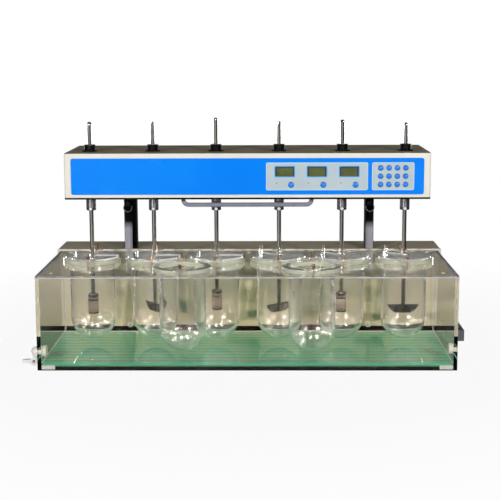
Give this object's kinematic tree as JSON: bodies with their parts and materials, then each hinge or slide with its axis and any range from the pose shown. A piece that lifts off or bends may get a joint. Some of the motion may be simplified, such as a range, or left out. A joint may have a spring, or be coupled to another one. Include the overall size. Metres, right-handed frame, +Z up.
{
  "type": "dissolution tester",
  "caption": "Bench dissolution tester: lifting drive head with a row of basket and paddle shafts over lidded glass vessels in a clear heated bath.",
  "frame": {"origin": "on the bench, straight under the middle of the row of shafts", "axes": "+X along the row to the user's right, +Y away from the user to the cabinet, +Z up"},
  "size_m": [1.037, 0.5005, 0.554],
  "materials": {
    "clear_acrylic": "polished clear",
    "vessel_glass": "clear",
    "green_mat": "matte",
    "black_rubber": "matte",
    "black_paint": "satin",
    "cream_paint": "satin",
    "black_plastic": "satin",
    "white_plastic": "satin",
    "brass": "turned",
    "dark_casting": "cast",
    "aluminium": "milled",
    "steel": "ground",
    "spindle_metal": "turned",
    "steel_screen": "woven wire",
    "blue_sheet": "satin",
    "grey_panel": "satin",
    "display": "liquid crystal behind a clear window",
    "circuit_board": "lacquered",
    "blue_button": "gloss"
  },
  "bodies": {
    "base": {"bath_tank": "clear_acrylic", "insulating_mat": "green_mat", "bath_pad": "black_rubber", "base_plinth": "black_paint", "rear_cabinet": "cream_paint", "lift_posts": "black_paint", "vessel_plate": "clear_acrylic", "vessels": "vessel_glass", "vessel_clamps": "clear_acrylic", "clamp_screws": "brass", "bath_fittings": "white_plastic", "mains_inlet": "black_plastic", "heating_unit": "dark_casting"},
    "head": {"head_cover": "cream_paint", "head_pan": "black_paint", "drive_frame": "aluminium", "spindle_bearings": "steel", "drive_motor": "dark_casting", "drive_belt": "black_rubber", "front_sheet": "blue_sheet", "control_panels": "grey_panel", "display_modules": "display", "control_board": "circuit_board", "pull_bar": "steel", "lift_bars": "steel"},
    "lid_set": {"vessel_lids": "clear_acrylic"},
    "spindle_1": {"spindle_1": "spindle_metal"},
    "spindle_2": {"spindle_2": "spindle_metal"},
    "spindle_3": {"spindle_3": "spindle_metal"},
    "spindle_4": {"spindle_4": "spindle_metal"},
    "spindle_5": {"spindle_5": "spindle_metal"},
    "spindle_6": {"spindle_6": "spindle_metal"},
    "shaft_1": {"stir_shaft_1": "steel", "basket_1": "steel_screen"},
    "shaft_2": {"stir_shaft_2": "steel"},
    "shaft_3": {"stir_shaft_3": "steel", "basket_3": "steel_screen"},
    "shaft_4": {"stir_shaft_4": "steel"},
    "shaft_5": {"stir_shaft_5": "steel", "basket_5": "steel_screen"},
    "shaft_6": {"stir_shaft_6": "steel"},
    "motor_pulley": {"motor_pulley": "aluminium"},
    "lock_pin_left": {"lock_pin_left": "steel"},
    "lock_pin_right": {"lock_pin_right": "steel"},
    "drain_tap_lever": {"drain_tap_lever": "white_plastic"},
    "mode_button_1": {"mode_button_1": "blue_button"},
    "mode_button_2": {"mode_button_2": "blue_button"},
    "mode_button_3": {"mode_button_3": "blue_button"},
    "key_1": {"key_1": "blue_button"},
    "key_2": {"key_2": "blue_button"},
    "key_3": {"key_3": "blue_button"},
    "key_4": {"key_4": "blue_button"},
    "key_5": {"key_5": "blue_button"},
    "key_6": {"key_6": "blue_button"},
    "key_7": {"key_7": "blue_button"},
    "key_8": {"key_8": "blue_button"},
    "key_9": {"key_9": "blue_button"},
    "key_10": {"key_10": "blue_button"},
    "key_11": {"key_11": "blue_button"},
    "key_12": {"key_12": "blue_button"}
  },
  "joints": [
    {"name": "head_lift", "type": "slide", "parent": "base", "child": "head", "axis": [0, 0, 1], "range_m": [0, 0.15]},
    {"name": "lid_lift", "type": "slide", "parent": "base", "child": "lid_set", "axis": [0, 0, 1], "range_m": [0, 0.15]},
    {"name": "spindle_1_turn", "type": "hinge", "parent": "head", "child": "spindle_1", "pos_m": [-0.37, 0, 0.4], "axis": [0, 0, 1], "continuous": true},
    {"name": "spindle_2_turn", "type": "hinge", "parent": "head", "child": "spindle_2", "pos_m": [-0.222, 0, 0.4], "axis": [0, 0, 1], "continuous": true},
    {"name": "spindle_3_turn", "type": "hinge", "parent": "head", "child": "spindle_3", "pos_m": [-0.074, 0, 0.4], "axis": [0, 0, 1], "continuous": true},
    {"name": "spindle_4_turn", "type": "hinge", "parent": "head", "child": "spindle_4", "pos_m": [0.074, 0, 0.4], "axis": [0, 0, 1], "continuous": true},
    {"name": "spindle_5_turn", "type": "hinge", "parent": "head", "child": "spindle_5", "pos_m": [0.222, 0, 0.4], "axis": [0, 0, 1], "continuous": true},
    {"name": "spindle_6_turn", "type": "hinge", "parent": "head", "child": "spindle_6", "pos_m": [0.37, 0, 0.4], "axis": [0, 0, 1], "continuous": true},
    {"name": "motor_turn", "type": "hinge", "parent": "head", "child": "motor_pulley", "pos_m": [0, 0.08, 0.43], "axis": [0, 0, 1], "continuous": true},
    {"name": "shaft_1_height", "type": "slide", "parent": "spindle_1", "child": "shaft_1", "axis": [0, 0, 1], "range_m": [-0.033, 0.05]},
    {"name": "shaft_2_height", "type": "slide", "parent": "spindle_2", "child": "shaft_2", "axis": [0, 0, 1], "range_m": [-0.037, 0.05]},
    {"name": "shaft_3_height", "type": "slide", "parent": "spindle_3", "child": "shaft_3", "axis": [0, 0, 1], "range_m": [-0.042, 0.05]},
    {"name": "shaft_4_height", "type": "slide", "parent": "spindle_4", "child": "shaft_4", "axis": [0, 0, 1], "range_m": [-0.037, 0.05]},
    {"name": "shaft_5_height", "type": "slide", "parent": "spindle_5", "child": "shaft_5", "axis": [0, 0, 1], "range_m": [-0.0365, 0.05]},
    {"name": "shaft_6_height", "type": "slide", "parent": "spindle_6", "child": "shaft_6", "axis": [0, 0, 1], "range_m": [-0.0335, 0.05]},
    {"name": "lock_pin_left_pull", "type": "slide", "parent": "base", "child": "lock_pin_left", "axis": [0, -1, 0], "range_m": [0, 0.008], "stiffness_N_per_m": 500, "springref_m": -0.004},
    {"name": "lock_pin_right_pull", "type": "slide", "parent": "base", "child": "lock_pin_right", "axis": [0, -1, 0], "range_m": [0, 0.008], "stiffness_N_per_m": 500, "springref_m": -0.004},
    {"name": "drain_tap_turn", "type": "hinge", "parent": "base", "child": "drain_tap_lever", "pos_m": [-0.4805, -0.1855, 0.018], "axis": [0, 1, 0], "range_deg": [0, 90]},
    {"name": "mode_button_1_press", "type": "slide", "parent": "head", "child": "mode_button_1", "axis": [0, 1, 0], "range_m": [0, 0.0008], "stiffness_N_per_m": 1500, "springref_m": -0.0004},
    {"name": "mode_button_2_press", "type": "slide", "parent": "head", "child": "mode_button_2", "axis": [0, 1, 0], "range_m": [0, 0.0008], "stiffness_N_per_m": 1500, "springref_m": -0.0004},
    {"name": "mode_button_3_press", "type": "slide", "parent": "head", "child": "mode_button_3", "axis": [0, 1, 0], "range_m": [0, 0.0008], "stiffness_N_per_m": 1500, "springref_m": -0.0004},
    {"name": "key_1_press", "type": "slide", "parent": "head", "child": "key_1", "axis": [0, 1, 0], "range_m": [0, 0.0008], "stiffness_N_per_m": 1500, "springref_m": -0.0004},
    {"name": "key_2_press", "type": "slide", "parent": "head", "child": "key_2", "axis": [0, 1, 0], "range_m": [0, 0.0008], "stiffness_N_per_m": 1500, "springref_m": -0.0004},
    {"name": "key_3_press", "type": "slide", "parent": "head", "child": "key_3", "axis": [0, 1, 0], "range_m": [0, 0.0008], "stiffness_N_per_m": 1500, "springref_m": -0.0004},
    {"name": "key_4_press", "type": "slide", "parent": "head", "child": "key_4", "axis": [0, 1, 0], "range_m": [0, 0.0008], "stiffness_N_per_m": 1500, "springref_m": -0.0004},
    {"name": "key_5_press", "type": "slide", "parent": "head", "child": "key_5", "axis": [0, 1, 0], "range_m": [0, 0.0008], "stiffness_N_per_m": 1500, "springref_m": -0.0004},
    {"name": "key_6_press", "type": "slide", "parent": "head", "child": "key_6", "axis": [0, 1, 0], "range_m": [0, 0.0008], "stiffness_N_per_m": 1500, "springref_m": -0.0004},
    {"name": "key_7_press", "type": "slide", "parent": "head", "child": "key_7", "axis": [0, 1, 0], "range_m": [0, 0.0008], "stiffness_N_per_m": 1500, "springref_m": -0.0004},
    {"name": "key_8_press", "type": "slide", "parent": "head", "child": "key_8", "axis": [0, 1, 0], "range_m": [0, 0.0008], "stiffness_N_per_m": 1500, "springref_m": -0.0004},
    {"name": "key_9_press", "type": "slide", "parent": "head", "child": "key_9", "axis": [0, 1, 0], "range_m": [0, 0.0008], "stiffness_N_per_m": 1500, "springref_m": -0.0004},
    {"name": "key_10_press", "type": "slide", "parent": "head", "child": "key_10", "axis": [0, 1, 0], "range_m": [0, 0.0008], "stiffness_N_per_m": 1500, "springref_m": -0.0004},
    {"name": "key_11_press", "type": "slide", "parent": "head", "child": "key_11", "axis": [0, 1, 0], "range_m": [0, 0.0008], "stiffness_N_per_m": 1500, "springref_m": -0.0004},
    {"name": "key_12_press", "type": "slide", "parent": "head", "child": "key_12", "axis": [0, 1, 0], "range_m": [0, 0.0008], "stiffness_N_per_m": 1500, "springref_m": -0.0004}
  ],
  "couplings": [
    {"joint": "lid_lift", "follows": "head_lift", "ratio": 1},
    {"joint": "spindle_2_turn", "follows": "spindle_1_turn", "ratio": 1},
    {"joint": "spindle_3_turn", "follows": "spindle_1_turn", "ratio": 1},
    {"joint": "spindle_4_turn", "follows": "spindle_1_turn", "ratio": 1},
    {"joint": "spindle_5_turn", "follows": "spindle_1_turn", "ratio": 1},
    {"joint": "spindle_6_turn", "follows": "spindle_1_turn", "ratio": 1},
    {"joint": "motor_turn", "follows": "spindle_1_turn", "ratio": 1.3889}
  ]
}
